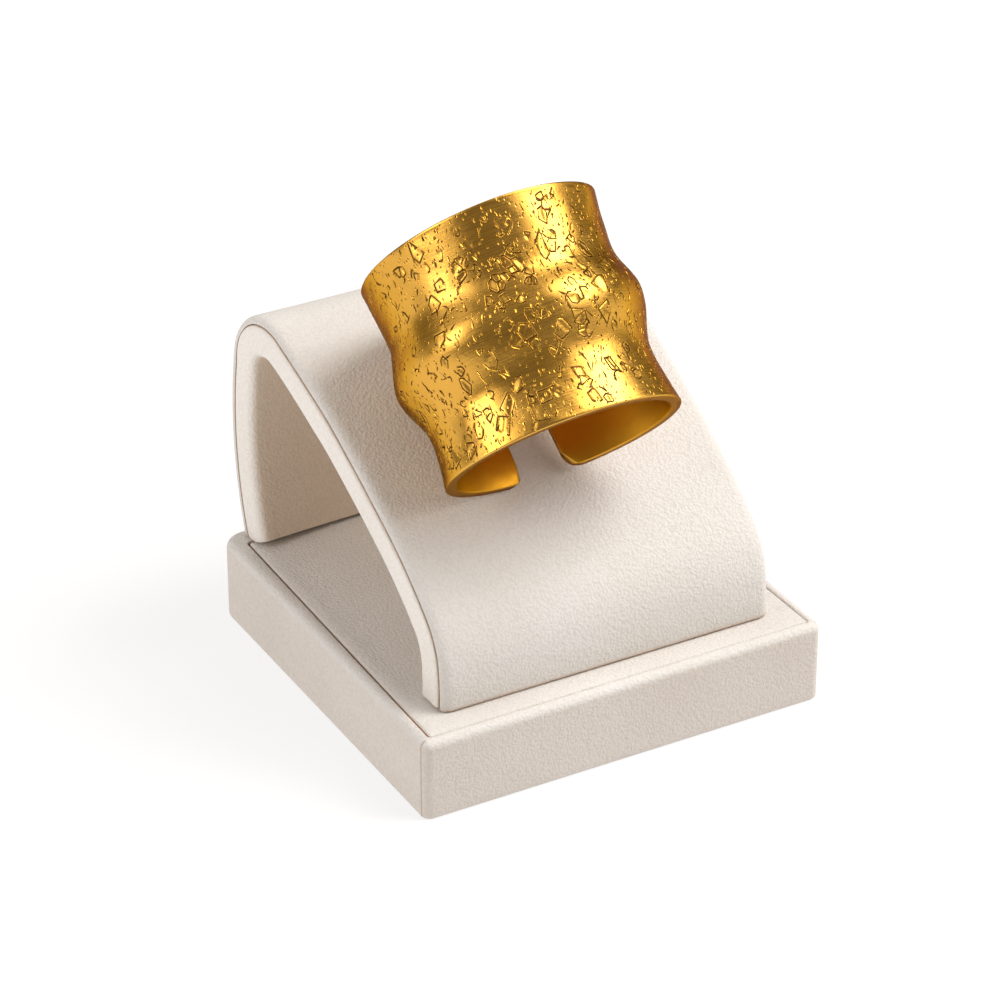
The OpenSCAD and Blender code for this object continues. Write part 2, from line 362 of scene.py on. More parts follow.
def end_stations(radius, total, count, steps=5):
    """Places along a length as shares, crowded at both rounded ends, and the inset at each.

    At a distance x from an end the surface is set in by r - sqrt(r^2 - (r - x)^2)."""
    near = radius * (1 - np.cos(np.linspace(0, math.pi / 2, steps + 1)))
    middle = np.linspace(near[-1], total - near[-1], count)[1:-1]
    along = np.concatenate([near, middle, total - near[::-1]])
    from_end = np.minimum(np.minimum(along, total - along), radius)
    inset = radius - np.sqrt(np.maximum(radius**2 - (radius - from_end) ** 2, 0))
    return along / total, inset


def mix(a, b, f):
    """The value at a share f of the way from a to b."""
    return a + (b - a) * f


def ramped(x, start, span):
    """Nought up to a start, one from a span past it, and even in between."""
    return np.clip((x - start) / span, 0, 1)


def arc(count):
    """Sine and one minus cosine of a quarter turn, without its two ends."""
    a = np.linspace(0, math.pi / 2, count + 2)[1:-1]
    return np.sin(a), 1 - np.cos(a)


# Ring


def eased(f):
    """A share eased at both ends: half of one minus the cosine of pi times it."""
    return (1 - np.cos(np.pi * f)) / 2


def wave(f):
    """Height of the waves at a share of the length: cosine-eased between the table's rows."""
    at, swell = np.array(BAND_WAVES).T
    i = np.clip(np.searchsorted(at, f) - 1, 0, len(at) - 2)
    return mix(swell[i], swell[i + 1], eased((f - at[i]) / (at[i + 1] - at[i])))


def band_swell(ring, f, angle):
    """Waves plus bumps: each bump is its swell times exp(-d^2/2) along and round the band."""
    total = wave(f + ring.wave_skew * np.maximum(np.cos(np.radians(angle)), 0))
    for at, turned, swell, along, round_it in BAND_BUMPS:
        total = total + swell * np.exp(
            -(((f - at) / along) ** 2) / 2 - (((angle - turned) / round_it) ** 2) / 2
        )
    return total


def band_place(ring, f, angle, depth, rise=0.0):
    """Points of the band: an ellipse at each share of the length, swollen by the waves and
    bumps, then turned and moved to where the ring lies. depth lowers the surface along its
    radius, and rise lifts it."""
    size, back_w, back_h = mm(ring, "band_length", "back_half_width", "back_half_height")
    front_w, front_h = mm(ring, "front_half_width", "front_half_height")
    a = np.radians(angle)
    out = band_swell(ring, f, angle) - depth + rise
    local = np.stack(
        np.broadcast_arrays(
            (mix(back_w, front_w, f) + out) * np.cos(a),
            (mix(back_h, front_h, f) + out) * np.sin(a),
            -size * (1 - f),
        ),
        -1,
    )
    return to_place(ring, local)


def to_place(ring, local):
    """From the ring's own axes, with Z along the finger, to where it lies."""
    t, e = ring.axis_turn, math.pi / 2 + ring.elevation
    yaw = np.array([[math.cos(t), 0, math.sin(t)], [0, 1, 0], [-math.sin(t), 0, math.cos(t)]])
    lift = np.array([[1, 0, 0], [0, math.cos(e), -math.sin(e)], [0, math.sin(e), math.cos(e)]])
    return local @ yaw.T @ lift.T + np.array(mm(ring, "place_x", "place_y", "place_z"))


def gap_half_angle(ring, s, corner):
    """Half of the gap in degrees at a distance s along the band. It widens at both rims by
    r - sqrt(r^2 - (r - x)^2), so that the corners come out round."""
    size, half_gap, width = mm(ring, "band_length", "gap_half_width", "back_half_width")
    x = np.minimum(np.minimum(s, size - s), corner)
    cut = corner - np.sqrt(np.maximum(corner**2 - (corner - x) ** 2, 0))
    return np.degrees(np.arcsin((half_gap + cut) / width))


def camera_axes(stage):
    """The camera's place and its right, up and backward directions."""
    a, e = stage.azimuth, stage.elevation
    back = np.array([math.sin(a) * math.cos(e), -math.cos(a) * math.cos(e), math.sin(e)])
    right = np.array([math.cos(a), math.sin(a), 0])
    up = np.cross(back, right)
    c, s = math.cos(stage.roll), math.sin(stage.roll)
    right, up = c * right + s * up, c * up - s * right
    target = np.array(mm(stage, "target_x", "target_y", "target_z"))
    return target + back * mm(stage, "distance"), right, up, back


def picture_place(stage, points):
    """Where points fall in the picture, in pixels from its left and its top."""
    eye, right, up, back = camera_axes(stage)
    scale = stage.lens / stage.sensor * PICTURE_SIZE
    seen = points - eye
    far = -seen @ back
    half = PICTURE_SIZE / 2
    return half + scale * (seen @ right) / far, half - scale * (seen @ up) / far


class Engraving:
    """The marks on the band's outer face, over a grid whose places round and along the band are
    u and v in millimetres.

    A line is kept as two smooth fields, which the material turns into a crisp line however
    coarse the mesh is: across, the distance from the line's middle as a multiple of its half
    width, negative on its inner side, and kept, how far a place lies inside the line's extent.
    Marks that come close to each other are laid in different layers."""

    def __init__(self, u, v, seed):
        """Starts with no marks at all."""
        self.u, self.v = u, v
        self.across = np.full((MARK_LAYERS,) + u.shape, FAR_ACROSS)
        self.kept = np.full((MARK_LAYERS,) + u.shape, -1.0)
        self.taken = np.zeros((MARK_LAYERS,) + u.shape, bool)
        self.height = np.zeros(u.shape)
        self.rng = np.random.default_rng(seed)
        self.columns, self.rows = u[:, u.shape[1] // 2], v[v.shape[0] // 2]

    def window(self, u, v, reach):
        """The part of the grid within reach of a place, and its offsets from it."""
        i = np.searchsorted(self.columns, (u - reach, u + reach))
        j = np.searchsorted(self.rows, (v - reach, v + reach))
        part = (slice(*i), slice(*j))
        return part, self.u[part] - u, self.v[part] - v

    def lay(self, part, off, across, kept):
        """Writes a line into the first layer with room. off is how far a place lies outside
        the mark: the line is written out to LAY_REACH, and kept clear of others by more."""
        clear = off < LAY_REACH + LAY_CLEARANCE
        write = off < LAY_REACH
        for layer in range(MARK_LAYERS):
            taken = self.taken[layer][part]
            if not (taken & clear).any():
                taken |= clear
                self.across[layer][part] = np.where(write, across, self.across[layer][part])
                self.kept[layer][part] = np.where(write, kept, self.kept[layer][part])
                return True
        return False

    def facets(self, u, v, reach, cells, stretch, turned, width, tilt, missing=0.75, gap=(0.3, 0.95)):
        """Straight-sided facets. The plane is shared out among a few sites, and a facet's
        outline is where its distance to the bisectors with all the other sites is nought. Its
        floor leans a little. missing says how often a part of the outline is left out, round the
        middle of one side, and gap how far that reaches, as shares of the facet's reach."""
        part, x, y = self.window(u, v, reach * 2 + LAY_REACH + LAY_CLEARANCE)
        if x.size == 0:
            return
        c, s = math.cos(math.radians(turned)), math.sin(math.radians(turned))
        x, y = (c * x + s * y) * math.sqrt(stretch), (c * y - s * x) / math.sqrt(stretch)
        sites = self.sites(reach, cells)
        margin, floor_edge, floor_depth, lowest, highest = 0.02, 0.1, 0.012, -0.06, 0.035
        line_spread = (0.75, 1.25)
        for k in range(cells):
            others = np.delete(sites, k, 0)
            between = others - sites[k]
            apart = np.linalg.norm(between, axis=1)
            edges = (x[..., None] - sites[k, 0]) * between[:, 0]
            edges = (edges + (y[..., None] - sites[k, 1]) * between[:, 1]) / apart - apart / 2
            off = edges.max(-1) + margin
            kept = np.ones(off.shape)
            if self.rng.uniform() < missing:
                side = int(self.rng.integers(len(others)))
                middle = (sites[k] + others[side]) / 2
                kept = np.hypot(x - middle[0], y - middle[1]) - reach * self.rng.uniform(*gap)
            line = width * self.rng.uniform(*line_spread)
            if self.lay(part, off, np.clip(off / line, -FAR_ACROSS, FAR_ACROSS), kept):
                lean = self.rng.normal(0, tilt, 2)
                floor = lean[0] * (x - sites[k, 0]) + lean[1] * (y - sites[k, 1]) - floor_depth
                self.height[part] += np.clip(-off / floor_edge, 0, 1) * np.clip(floor, lowest, highest)

    def sites(self, reach, cells):
        """The points that a group of facets is worked out from: one for each facet, on a ring
        round the middle or for a single facet on it, and more on a ring outside them."""
        inner_ring, fewest_sides, most_sides = 0.55, 4, 6
        inner_stray, outer_stray, near_spread, far_spread = 0.4, 0.33, (0.25, 1.35), (0.75, 1.2)
        rng, whole = self.rng, 2 * math.pi
        inner = 0.0 if cells == 1 else reach * inner_ring
        around = fewest_sides + cells if cells > 1 else int(rng.integers(fewest_sides, most_sides + 1))
        spin = rng.uniform(0, whole, 2)
        a = spin[0] + (np.arange(cells) + rng.uniform(-inner_stray, inner_stray, cells)) * whole / cells
        b = spin[1] + (np.arange(around) + rng.uniform(-outer_stray, outer_stray, around)) * whole / around
        far = (2 * reach - inner) * rng.uniform(*far_spread, around)
        near = inner * np.stack([np.cos(a), np.sin(a)], -1) * rng.uniform(*near_spread, (cells, 1))
        return np.concatenate([near, far[:, None] * np.stack([np.cos(b), np.sin(b)], -1)])

    def stroke(self, u, v, size, turned, width, bend):
        """A short, slightly bent nick: the distance across it over a half width that falls off
        from one end to the other and at both ends, kept between its two ends."""
        blunt, middle, growth, thin_end, thick_end, side_reach = 0.12, 0.72, 0.85, 0.3, 1.2, 2.2
        part, x, y = self.window(u, v, size / 2 + LAY_REACH + LAY_CLEARANCE)
        if x.size == 0:
            return
        c, s = math.cos(math.radians(turned)), math.sin(math.radians(turned))
        along, side = c * y + s * x, c * x - s * y
        off = np.hypot(np.maximum(np.abs(along) - size / 2, 0), side)
        taper = np.sqrt(np.clip(1 - (2 * along / (size + width)) ** 2, blunt, 1))
        taper = taper * np.clip(middle + growth * along / size, thin_end, thick_end)
        side = side - bend * (along**2 - size**2 / 12)
        across = np.clip(side / (width * taper), -FAR_ACROSS, FAR_ACROSS)
        kept = np.minimum(size / 2 - np.abs(along), side_reach * width - np.abs(side))
        self.lay(part, off, across, kept)

    def scatter(self, count, sizes, widths, keep):
        """Strokes strewn over the band, more of them short than long, and most of them nearly
        along it. keep says how likely one stays at a place."""
        side_margin, rim_margin, shortness, bend_spread, turn_spread = 0.3, 0.25, 1.5, 0.35, 34
        rng = self.rng
        low, high = self.columns[[0, -1]]
        u = rng.uniform(low + side_margin, high - side_margin, count)
        v = rng.uniform(self.rows[0] + rim_margin, self.rows[-1] - rim_margin, count)
        stays = rng.uniform(size=count) < keep(u, v)
        size = mix(*sizes, rng.uniform(size=count) ** shortness)
        bend = rng.normal(0, bend_spread, count)
        width = rng.uniform(*widths, count)
        turned = rng.normal(0, turn_spread, count) + 180 * rng.integers(2, size=count)
        for k in np.flatnonzero(stays):
            self.stroke(u[k], v[k], size[k], turned[k], width[k], bend[k])


def engrave(ring, u, v, seen_x, seen_y, facing):
    """All the marks: the charted facets, more of them where the camera doesn't see, small open
    ones all round, and the strokes between them."""
    hidden_along, hidden_reach, hidden_stretch, hidden_turn = (1.2, 18.4), (0.35, 0.7), (0.9, 1.5), 20
    most_hidden_cells, unseen = 3, 1e6
    chips_from, chips_to, chip_reach, chip_stretch = (-80, 0.9), (260, 18.8), (0.2, 0.42), (0.8, 1.9)
    chip_turn, chip_gap, chip_crowding = 25, (0.7, 1.4), 0.9
    stroke_sizes, stroke_widths, stroke_clearance = (0.26, 0.95), (1.0, 2.1), 0.8
    work = Engraving(u, v, seed=11)
    rng = work.rng
    radius, width, tilt = mm(ring, "back_half_width"), mm(ring, "mark_width"), ring.facet_tilt
    placed = []
    for x, y, reach, cells, stretch, turned in FACET_CHART:
        off = np.hypot(seen_x - x, seen_y - y) + np.where(facing, 0, unseen)
        at = np.unravel_index(np.argmin(off), off.shape)
        placed.append((u[at], v[at], reach))
        work.facets(u[at], v[at], reach * ring.facet_size, cells, stretch, turned, width, tilt)
    hidden = []
    for first, last in HIDDEN_SIDES:
        low, high = (first, hidden_along[0]), (last, hidden_along[1])
        hidden += rng.uniform(low, high, (HIDDEN_FACETS, 2)).tolist()
    for angle, along in hidden:
        reach, cells = rng.uniform(*hidden_reach), int(rng.integers(1, most_hidden_cells + 1))
        place = math.radians(angle) * radius
        placed.append((place, along, reach))
        turned, stretch = rng.normal(0, hidden_turn), rng.uniform(*hidden_stretch)
        work.facets(place, along, reach, cells, stretch, turned, width, tilt)
    for angle, along in rng.uniform(chips_from, chips_to, (ring.chip_count, 2)):
        place, reach = math.radians(angle) * radius, rng.uniform(*chip_reach)
        if all(math.hypot(place - x, along - y) > size * chip_crowding + reach for x, y, size in placed):
            placed.append((place, along, reach))
            stretch, turned = rng.uniform(*chip_stretch), rng.normal(0, chip_turn)
            work.facets(place, along, reach, 1, stretch, turned, width, tilt, 1.0, chip_gap)
    spots = np.array(placed)

    def keep(at_u, at_v):
        """Nought on a facet, and fewer than all in the quiet stretch on top."""
        near = np.hypot(at_u[:, None] - spots[:, 0], at_v[:, None] - spots[:, 1]) / spots[:, 2]
        off = (np.degrees(at_u / radius) - QUIET_ANGLE) / QUIET_REACH
        return (near.min(1) > stroke_clearance) * (1 - QUIET_SHARE * np.exp(-(off**2)))

    work.scatter(ring.stroke_count, stroke_sizes, [width * times for times in stroke_widths], keep)
    return work


def soft_hammering(u, v, seed, waves=40):
    """Faint low relief: the sum of many sines of random direction and a wavelength of a few
    millimetres, each with an amplitude in proportion to its wavelength."""
    shortest, longest = 1.3, 5.0
    rng = np.random.default_rng(seed)
    turned, size = rng.uniform(0, math.pi, waves), rng.uniform(shortest, longest, waves)
    start = rng.uniform(0, 2 * math.pi, waves)
    total = np.zeros(u.shape)
    for k in range(waves):
        along = u * math.cos(turned[k]) + v * math.sin(turned[k])
        total += size[k] * np.sin(2 * math.pi / size[k] * along + start[k])
    return total / (3 * math.sqrt(waves))


def crowded_shares(first, last, count):
    """Columns round the band between two angles, as shares of the way, spaced evenly in the sum
    of a weight that is one over the top half and less underneath."""
    under_weight, right, left, fine = 0.55, -35, 212, 2000
    angle = np.linspace(first, last, fine)
    weight = np.where((angle > right) & (angle < left), 1.0, under_weight)
    sums = np.concatenate([[0], np.cumsum((weight[1:] + weight[:-1]) / 2)])
    angle = np.interp(np.linspace(0, sums[-1], count), sums, angle)
    return (angle - angle[0]) / (angle[-1] - angle[0])


def band_columns(ring):
    """Columns round the band as shares of the way from one end to the other, and how far the
    rounding of the two ends draws the section in at each."""
    shares = crowded_shares(*BAND_ANGLES, BAND_COLUMNS)
    span = math.radians(BAND_ANGLES[1] - BAND_ANGLES[0]) * mm(ring, "back_half_width")
    rounded, drawn_in = end_stations(BAND_END_RADIUS, span, 2, BAND_END_COLUMNS - 1)
    inset = np.zeros(BAND_COLUMNS)
    for end in (slice(BAND_END_COLUMNS), slice(-BAND_END_COLUMNS, None)):
        shares[end], inset[end] = rounded[end], drawn_in[end]
    return shares, inset


def band_section(ring):
    """The band's cut edge as a rounded rectangle: places along the band and below the outer
    face, going out along the outer face, over the front rim and back along the inner face."""
    size, thick, r = mm(ring, "band_length", "metal_thickness", "edge_radius")
    sine, versine = arc(2)
    edge = np.array([r, thick / 2, thick - r])
    s = [np.linspace(r, size - r, OUTER_ROWS), size - r + r * sine, np.full(3, size), size - r * versine]
    s += [np.linspace(size - r, r, INNER_ROWS), r - r * sine, np.zeros(3), r * versine]
    t = [np.zeros(OUTER_ROWS), r * versine, edge, thick - r + r * sine]
    t += [np.full(INNER_ROWS, thick), thick - r * versine, edge[::-1], r - r * sine]
    return np.concatenate(s), np.concatenate(t)


def seen_by_camera(stage, face):
    """Where a grid of points falls in the picture, and which of it faces the camera: where the
    normal, the cross product of the grid's two directions, points to the camera's side."""
    normal = np.cross(np.gradient(face, axis=0), np.gradient(face, axis=1))
    outward = np.sign(np.sum(normal * (face - face.reshape(-1, 3).mean(0)), -1).sum())
    facing = outward * np.sum(normal * (camera_axes(stage)[0] - face), -1) > 0
    return (*picture_place(stage, face), facing)


def mark_fields(work, fade, shape):
    """The engraving's smooth fields over the whole band, three layers to each attribute."""
    outer = (slice(None), slice(None), slice(OUTER_ROWS))
    across, kept = np.full((MARK_LAYERS, *shape), FAR_ACROSS), np.full((MARK_LAYERS, *shape), -1.0)
    across[outer] = work.across
    kept[outer] = np.where(fade > 0, work.kept, -1.0)
    fields = []
    for k in range(0, MARK_LAYERS, LAYERS_EACH):
        fields.append((f"across_{k // LAYERS_EACH}", across[k : k + LAYERS_EACH]))
        fields.append((f"kept_{k // LAYERS_EACH}", kept[k : k + LAYERS_EACH]))
    return fields


def build_ring(context):
    """The band: its rounded section carried round the ellipse from one side of the gap to the
    other, with the engraving raised and cut on the outer face."""
    ring, stage = context.scene.cuff_ring, context.scene.cuff_stage
    size, thick, radius = mm(ring, "band_length", "metal_thickness", "back_half_width")
    s, t = band_section(ring)
    shares, inset = band_columns(ring)
    e = inset[:, None]
    s_in = size / 2 + (s - size / 2) * (1 - 2 * e / size)
    t_in = thick / 2 + (t - thick / 2) * (1 - 2 * e / thick)
    gap = math.degrees(ring.gap_turn)
    first = gap - 90 + gap_half_angle(ring, s_in, mm(ring, "right_corner"))
    last = gap + 270 - gap_half_angle(ring, s_in, mm(ring, "left_corner"))
    angle = mix(first, last, shares[:, None])
    f = s_in / size
    outer = (slice(None), slice(OUTER_ROWS))
    u, v = np.radians(angle[outer]) * radius, s_in[outer]
    work = engrave(ring, u, v, *seen_by_camera(stage, band_place(ring, f[outer], angle[outer], 0)))
    plain_rim, fade_width, rim_width, uv_apart = 0.15, 0.25, 0.12, 40
    fade = ramped(np.minimum(v, size - v), plain_rim, fade_width) * np.clip(1 - e / BAND_END_RADIUS, 0, 1)
    rise = np.zeros(angle.shape)
    rise[outer] = (work.height + mm(ring, "hammering") * soft_hammering(u, v, seed=3)) * fade
    inside = ramped(t_in, 0.9 * thick, 0.1 * thick)
    rim = np.clip(np.minimum(t_in, thick - t_in) / rim_width, 0, 1) * (e < BAND_END_RADIUS / 2)
    uv = np.stack([np.radians(angle) * radius, s_in + uv_apart * (t_in > thick / 2)], -1)
    piece = make_piece(
        "ring_band_detail",
        band_place(ring, f, angle, t_in, rise).reshape(-1, 3),
        tube_faces(*angle.shape),
        "ring_band",
        uv=uv.reshape(-1, 2),
        attributes=[("inside", inside), ("rim", rim)] + mark_fields(work, fade, angle.shape),
    )
    piece.data.materials.append(brass_material(ring))


# Stand


def arch_chain(stand):
    """Centres of the arch's arcs, their radii, and the headings and lengths where they meet.
    Each centre lies one radius in from the point that its arc starts at."""
    foot_y, base_height = mm(stand, "foot_y", "base_height")
    headings, centres, lengths = [math.degrees(stand.foot_heading)], [], [0.0]
    point = np.array([foot_y, base_height])
    for radius, turned in ARCH_ARCS:
        a = math.radians(headings[-1])
        centre = point - radius * np.array([-math.sin(a), math.cos(a)])
        headings.append(headings[-1] - turned)
        a = math.radians(headings[-1])
        point = centre + radius * np.array([-math.sin(a), math.cos(a)])
        centres.append(centre)
        lengths.append(lengths[-1] + radius * math.radians(turned))
    radii = np.array([radius for radius, _ in ARCH_ARCS])
    return np.array(headings), np.array(centres), radii, np.array(lengths)


def arch_point(chain, along, depth):
    """Point of the arch's profile at a length along it and a depth under its outer face:
    the arc's centre plus (radius - depth) times (-sin, cos) of the heading."""
    headings, centres, radii, lengths = chain
    heading = np.interp(along, lengths, headings)
    k = np.clip(np.searchsorted(lengths, along, side="right") - 1, 0, len(radii) - 1)
    a = np.radians(heading)
    r = radii[k] - depth
    return centres[k, 0] - r * np.sin(a), centres[k, 1] + r * np.cos(a)


def arch_ends(chain, depth, floor):
    """Lengths at which the profile at a depth meets the floor, front and back: on an arc about
    a centre at height c, the heading there has the cosine (floor - c) / (radius - depth)."""
    headings, centres, radii, lengths = chain
    front = np.degrees(np.arccos(np.clip((floor - centres[0, 1]) / (radii[0] - depth), -1, 1)))
    back = -np.degrees(np.arccos(np.clip((floor - centres[-1, 1]) / (radii[-1] - depth), -1, 1)))
    start = (headings[0] - front) / (headings[0] - headings[1]) * lengths[1]
    share_back = (headings[-2] - back) / (headings[-2] - headings[-1])
    return start, lengths[-2] + share_back * (lengths[-1] - lengths[-2])


def layer_section(across_top, across_under):
    """The cut edge of a layer of the arch, a rectangle with rounded corners, as shares. Each
    point has its place across from -1 to 1, its parts of the upper and lower corners' widths
    that it is drawn in by, and its parts of the upper corner's height, of the thickness and of
    the lower corner's height that make up its depth."""
    sine, versine = arc(5)
    one, none, k = np.ones(5), np.zeros(5), np.linspace(0, 1, 4)
    top, under = np.linspace(-1, 1, across_top), np.linspace(1, -1, across_under)
    flat, low = np.zeros(across_top), np.ones(across_under)
    parts = [
        (top, flat + 1, flat, flat, flat, flat),
        (one, 1 - sine, none, versine, none, none),
        (np.ones(4), 0 * k, 0 * k, 1 - k, k, -k),
        (one, none, versine, none, one, sine - 1),
        (under, 0 * low, low, 0 * low, low, 0 * low),
        (-one, none, 1 - sine, none, one, -versine),
        (-np.ones(4), 0 * k, 0 * k, k, 1 - k, k - 1),
        (-one, versine, none, 1 - sine, none, none),
    ]
    return [np.concatenate(column)[None] for column in zip(*parts)]


class Layer(NamedTuple):
    """One layer of the arch. Lengths are in mm, and a pair is for the front and the back leg.
    depth is where it starts under the arch's outer face, thinning what it loses at the back foot,
    proud how far its front leg stands out at the sides, and sag the height of its soft swell."""

    padded: bool
    depth: float
    thick: float
    upper_height: float
    upper_width: float
    lower_roll: tuple
    end_roll: tuple
    thinning: float
    ridge_swell: float
    proud: float
    sag: float


def padding_swell(x, along):
    """The swell of soft padding, up to about one: a sine across times a sine along, and a
    lower, slanting sine."""
    across, lengthwise = np.sin(x * 0.31 + 1.3), np.sin(along * 0.23 + 0.4)
    return across * lengthwise + 0.6 * np.sin(x * 0.17 + along * 0.37)


def build_layer(stand, layer, name, replaced):
    """A layer of the arch: its rounded section carried along the profile, following the plan's
    width and a little proud of it, with a faint swell of soft padding. It is thinned towards its
    back foot, thicker over the ridge and rounded at both feet. The rounding of its lower corners
    and of its ends changes from the front leg to the back one."""
    ridge_at, ridge_reach, middle_thinning, rear_width = 0.62, 0.07, 0.95, 0.65
    roll_span, thin_span, flare_span, rear_span = (0.45, 0.2), (0.5, 0.46), (0.75, 0.25), (ridge_at, 0.12)
    calm_rise, calm_side, hollow_depth, hollow_side = (1.5, 3), (0, 2), (0.8, 0.2), (0.15, 0.6)
    seam_reach, cover_seam_reach, foot_shade = 0.05, 0.02, (0.18, 0.12)
    chain, thick = arch_chain(stand), layer.thick
    fx, top_in, under_in, top_part, whole, under_part = layer_section(64, 40)
    shares, inset = end_stations(max(layer.end_roll), chain[3][-1], 240, 8)
    e, tau = inset[:, None], shares[:, None]
    e = e * np.where(tau < 0.5, *layer.end_roll) / max(layer.end_roll)
    roll = mix(*layer.lower_roll, ramped(tau, *roll_span))
    d = top_part * layer.upper_height + whole * thick + under_part * roll
    thin = layer.thinning * ramped(tau, *thin_span) * (1 - middle_thinning * fx**2)
    thin = thin - layer.ridge_swell * np.exp(-(((tau - ridge_at) / ridge_reach) ** 2))
    d_in = layer.depth + (thick / 2 + (d - thick / 2) * (1 - 2 * e / thick)) * (1 - thin / thick)
    base_top = mm(stand, "base_height")
    along = mix(*arch_ends(chain, d_in, base_top + mm(stand, "seat_gap")), tau)
    y, z = arch_point(chain, along, d_in)
    at, widening = np.array(ARCH_PLAN).T
    rear = ramped(tau, *rear_span)
    half = mix(mm(stand, "front_width") / 2, mm(stand, "back_width") / 2, np.interp(y, at, widening))
    half = half + mm(stand, "foot_flare") * ramped(tau, *flare_span) + layer.proud * (1 - rear)
    x = fx * (half - top_in * layer.upper_width * (1 - rear_width * rear) - under_in * roll - e)
    soft_y, soft_z = arch_point(chain, along, d_in + layer.sag * padding_swell(x, along))
    from_side = half - np.abs(x)
    calm = ramped(z - base_top, *calm_rise) * ramped(from_side, *calm_side)
    y, z = mix(y, soft_y, calm), mix(z, soft_z, calm)
    if layer.padded:
        # painted shade: the mask of the lining's underside inside the arch, away from its edges
        hollow_shade = ramped(d / thick, *hollow_depth) * ramped(from_side, *hollow_side)
        # painted shade at the lining's top, down in the seam under the cover
        deep = 1 - ramped(d, 0, seam_reach)
    else:
        hollow_shade = np.zeros(x.shape)
        # painted shade on the cover's underside beside the seam
        deep = ramped(d, thick - cover_seam_reach, cover_seam_reach)
    # painted shade under the feet, where they meet the base
    deep = np.maximum(deep, 1 - ramped(z - base_top, *foot_shade))
    return make_piece(
        name,
        np.stack([x, y, z], -1).reshape(-1, 3),
        tube_faces(*x.shape),
        replaced,
        attributes=[("hollow_shade", hollow_shade), ("deep", deep)],
    )


def build_arch(context):
    """The arch's outer cover and its padded inner layer."""
    stand = context.scene.cuff_stand
    cover, lining, seam = mm(stand, "cover_edge", "lining_thickness", "edge_seam")
    outer = Layer(
        padded=False,
        depth=0.0,
        thick=cover,
        upper_height=0.85 * cover,
        upper_width=mm(stand, "edge_roll"),
        lower_roll=(0.05, 0.05),
        end_roll=(0.14, 0.14),
        thinning=0.0,
        ridge_swell=0.0,
        proud=0.0,
        sag=0.025,
    )
    inner = Layer(
        padded=True,
        depth=cover + seam,
        thick=mm(stand, "cover_thickness") + mm(stand, "seam_gap") + lining - cover - seam,
        upper_height=0.32,
        upper_width=0.3,
        lower_roll=(0.28, 0.8),
        end_roll=(0.42, 0.12),
        thinning=mm(stand, "back_thinning"),
        ridge_swell=0.4,
        proud=0.28,
        sag=0.03,
    )
    skin = build_layer(stand, outer, "arch_cover_skin", "arch_cover")
    skin.data.materials.append(leatherette_material("Leatherette", stand, stand.skin, stand.skin))
    pad = build_layer(stand, inner, "arch_lining_pad", "arch_lining")
    pad.data.materials.append(lining_material(stand))


def rounded_outline(half_width, half_depth, corners, inset, straight=30, curved=15):
    """Rounded rectangles, one for each inset, drawn in by it, with at least a small radius left
    at the corners. corners gives the radii at the back and at the front."""
    least = 0.12
    inset = np.asarray(inset, float)[:, None]
    w, h = half_width - inset, half_depth - inset
    a = np.linspace(0, math.pi / 2, curved)
    x, y = [], []
    for turned, (sx, sy) in enumerate(((1, 1), (-1, 1), (-1, -1), (1, -1))):
        r = np.maximum(corners[0 if sy > 0 else 1] - inset, least)
        b = a + turned * math.pi / 2
        x.append(sx * (w - r) + r * np.cos(b))
        y.append(sy * (h - r) + r * np.sin(b))
    full_x, full_y = [], []
    step = np.linspace(0, 1, straight + 2)[1:-1]
    for k in range(4):
        n = (k + 1) % 4
        full_x += [x[k], mix(x[k][:, -1:], x[n][:, :1], step)]
        full_y += [y[k], mix(y[k][:, -1:], y[n][:, :1], step)]
    return np.concatenate(full_x, 1), np.concatenate(full_y, 1)


def panel_outline(stand, inset):
    """The inset panel's outline, drawn in by each inset: a rounded rectangle whose back edge
    lies under the arch's back foot, and whose sides close in a little towards the back."""
    corners, closing = (0.3, 0.25), 0.04
    width, depth, rim, groove = mm(stand, "base_width", "base_depth", "rim_width", "groove_width")
    front, back = -depth / 2 + rim + groove, mm(stand, "panel_back")
    half_depth = (back - front) / 2
    x, y = rounded_outline(width / 2 - rim - groove, half_depth, corners, inset)
    return x * (1 - closing * (y / half_depth + 1) / 2), y + (back + front) / 2


def block_piece(name, replaced, x, y, height, deep):
    """A block from stacked outlines, each at its own height, with a share of painted shade for
    each, in the seam and shade tone, which is less on the right."""
    z = np.broadcast_to(np.asarray(height)[:, None], x.shape)
    points = np.stack([x, y, z], -1).reshape(-1, 3)
    share_on_right = 0.15
    deep = np.asarray(deep, float)[:, None] * np.where(x > 0, share_on_right, 1.0)
    faces = tube_faces(*x.shape)
    return make_piece(name, points, faces, replaced, attributes=[("deep", deep)])


def foot_round(radius, count=6):
    """Insets and heights of a quarter round from the underside out to the side."""
    a = np.linspace(0, math.pi / 2, count)
    return radius * (1 - np.sin(a)), radius * (1 - np.cos(a))


def top_round(height, radius, count):
    """Insets and heights of a quarter round from the side in to the upper face."""
    a = np.linspace(0, math.pi / 2, count)
    return radius * (1 - np.cos(a)), height - radius * (1 - np.sin(a))


